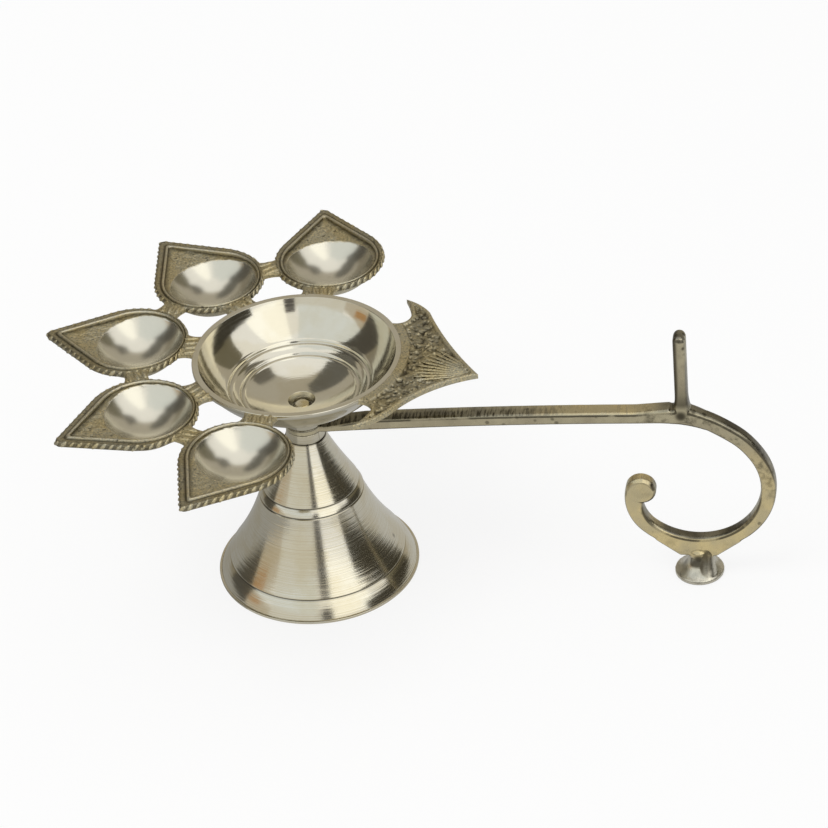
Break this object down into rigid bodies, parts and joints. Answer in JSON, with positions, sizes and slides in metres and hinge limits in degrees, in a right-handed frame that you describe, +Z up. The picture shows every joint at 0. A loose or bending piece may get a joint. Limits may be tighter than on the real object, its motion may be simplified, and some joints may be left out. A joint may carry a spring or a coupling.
{
  "type": "aarti lamp",
  "caption": "Brass hand lamp for prayer: a round oil dish ringed by leaf-shaped wick cups and a fish-tail plate, on a turned bell foot, with a hooked handle that ends in a finger loop",
  "frame": {"origin": "on the screw axis, in the plane of the ring that the pedestal stands on", "axes": "+Z up along the screw axis, +X from the screw axis along the handle to the finger loop"},
  "size_m": [0.2351, 0.1646, 0.0944],
  "materials": {
    "cast_brass": "cast with polished bowls",
    "handle_brass": "cast and filed, dark in its hollows",
    "turned_brass": "turned and polished",
    "screw_brass": "machined"
  },
  "bodies": {
    "pedestal": {"pedestal": "turned_brass", "clamp_screw": "screw_brass"},
    "handle": {"handle": "handle_brass"},
    "lamp_plate": {"oil_dish": "cast_brass", "fish_tail": "cast_brass", "leaf_cup_1": "cast_brass", "leaf_cup_2": "cast_brass", "leaf_cup_3": "cast_brass", "leaf_cup_4": "cast_brass", "leaf_cup_5": "cast_brass"}
  },
  "joints": [
    {"name": "handle_swivel", "type": "hinge", "parent": "pedestal", "child": "handle", "pos_m": [0, 0, 0.05675], "axis": [0, 0, 1], "continuous": true},
    {"name": "plate_swivel", "type": "hinge", "parent": "pedestal", "child": "lamp_plate", "pos_m": [0, 0, 0.0618], "axis": [0, 0, 1], "continuous": true}
  ]
}
